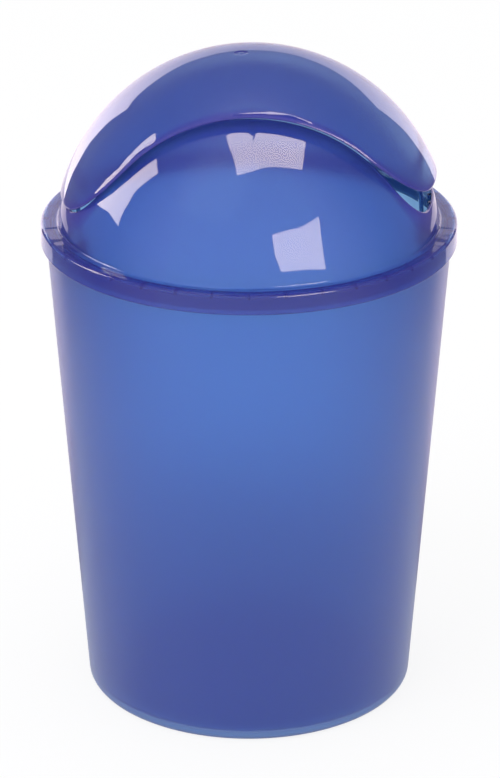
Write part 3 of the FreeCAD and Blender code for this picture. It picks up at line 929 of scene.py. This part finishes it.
def make_lamp():
    """One soft lamp, which the plastic doesn't mirror."""
    light = bpy.data.lights.new("soft_lamp", "AREA")
    light.size = LAMP_SIZE * MM
    light.energy = LAMP_RADIANCE * math.pi * light.size ** 2
    lamp = bpy.data.objects.new("soft_lamp", light)
    lamp.location = LAMP_PLACE * MM
    lamp.rotation_euler = (CAMERA_TARGET - LAMP_PLACE).to_track_quat("-Z", "Y").to_euler()
    lamp.visible_camera = False
    lamp.visible_glossy = False
    bpy.context.scene.collection.objects.link(lamp)


def make_bright_cards():
    """The cards that the dome mirrors as its bright reflections, each a fan of faces about its middle."""
    for name, pixels in CARD_CORNERS.items():
        middle = [sum(places) / len(pixels) for places in zip(*pixels)]
        corners = [mirrored(pixel) for pixel in pixels]
        fan = [(mirrored(middle), *ends) for ends in zip(corners, corners[1:] + corners[:1])]
        tree, glow = make_card(name, fan, CARD_RADIANCE, CARD_TINT)
        path = add(tree, "LightPath", {})
        lengths = {0: (path, "Ray Length"), 1: CARD_DISTANCE * MM, 2: CARD_REACH * MM}
        within_reach = add(tree, "Math", lengths, operation="COMPARE")
        level = add(tree, "Math", {0: (within_reach, 0), 1: CARD_RADIANCE}, operation="MULTIPLY")
        tree.links.new(level.outputs[0], glow.inputs["Strength"])


def make_cove():
    """The cove behind the object, its foot and the floor before it."""
    cove = ring(COVE_HALF_ANGLE, (COVE_RADIUS, 0), (COVE_RADIUS, COVE_HEIGHT))
    tree, glow = make_card("cove", cove, COVE_RADIANCE)
    # How far behind the object the cove's ends are; its shares are graded as far to each side
    cove_end = COVE_RADIUS * math.cos(math.radians(COVE_HALF_ANGLE))
    ends = graded(tree, "Y", cove_end, COVE_RADIUS, COVE_END_RADIANCE, COVE_RADIANCE)
    sides = graded(tree, "X", -cove_end, cove_end, COVE_LEFT_SHARE, COVE_RIGHT_SHARE)
    level = add(tree, "Math", {0: (ends, "Result"), 1: (sides, "Result")}, operation="MULTIPLY")
    tree.links.new(level.outputs[0], glow.inputs["Strength"])
    foot_line = (FOOT_RADIUS, FLOOR_CARD_LEVEL)
    foot = ring(FOOT_HALF_ANGLE, foot_line, (FOOT_RADIUS, FOOT_CARD_HEIGHT))
    make_card("cove_foot", foot, FOOT_RADIANCE)
    near_floor = ring(FOOT_HALF_ANGLE, (FLOOR_CARD_RADIUS, FLOOR_CARD_LEVEL), foot_line)
    tree, glow = make_card("cove_floor", near_floor, FLOOR_CARD_RADIANCE)
    level = graded(tree, "Y", FLOOR_CARD_RADIUS, FLOOR_SHADE_END, FLOOR_SHADE_RADIANCE, FLOOR_CARD_RADIANCE)
    tree.links.new(level.outputs["Result"], glow.inputs["Strength"])


def make_surround():
    """The dim room round the object."""
    surround = ring(SURROUND_HALF_ANGLE, (SURROUND_RADIUS, 0), (SURROUND_RADIUS, SURROUND_HEIGHT))
    tree, glow = make_card("surround", surround, SURROUND_RADIANCE)
    shades = (SURROUND_RADIANCE, SURROUND_LIGHTEST)
    above = graded(tree, "Z", SURROUND_LIGHTER_ABOVE, SURROUND_HEIGHT, *shades)
    front_end = SURROUND_RADIUS * math.cos(math.radians(SURROUND_HALF_ANGLE))
    before = graded(tree, "Y", SURROUND_LIGHTER_BEFORE, front_end, *shades)
    level = add(tree, "Math", {0: (above, "Result"), 1: (before, "Result")}, operation="MAXIMUM")
    tree.links.new(level.outputs[0], glow.inputs["Strength"])


def make_floor_glow():
    """The bright patch of the floor behind."""
    corners = [(-GLOW_HALF_WIDTH, GLOW_NEAR), (GLOW_HALF_WIDTH, GLOW_NEAR)]
    corners += [(GLOW_HALF_WIDTH, GLOW_FAR), (-GLOW_HALF_WIDTH, GLOW_FAR)]
    patch = [Vector((*corner, GLOW_LEVEL)) for corner in corners]
    make_card("glow_behind", [patch], GLOW_RADIANCE, seen_through=True)


frosted = frosted_polypropylene()
gloss = [
    gloss_polypropylene("gloss_polypropylene", GLOSS_PALE, GLOSS_DEEP, POLISH, BONNET_PIGMENT_SHARE),
    gloss_polypropylene("hazed_polypropylene", GLOSS_PALE, GLOSS_DEEP, INSIDE_HAZE, BONNET_PIGMENT_SHARE),
]
flap_gloss = [
    gloss_polypropylene("gloss_polypropylene_flap", FLAP_PALE, FLAP_DEEP, POLISH, FLAP_PIGMENT_SHARE),
    gloss_polypropylene("hazed_polypropylene_flap", FLAP_PALE, FLAP_DEEP, INSIDE_HAZE, FLAP_PIGMENT_SHARE),
]
acetal = moulded_acetal()
make_tub([frosted])
make_bonnet(gloss)
make_seat_ribs(gloss)
make_flap(flap_gloss)
for side, name in ((-1, "left"), (1, "right")):
    make_lug(side, name, gloss)
    make_arm(side, name, flap_gloss)
    pin = frame["nodes"][f"pivot_pin_{name}"]
    pin.data.materials.clear()
    pin.data.materials.append(acetal)
make_camera()
make_world()
make_floor()
make_lamp()
make_bright_cards()
make_cove()
make_surround()
make_floor_glow()
bpy.context.scene.view_settings.view_transform = "Standard"
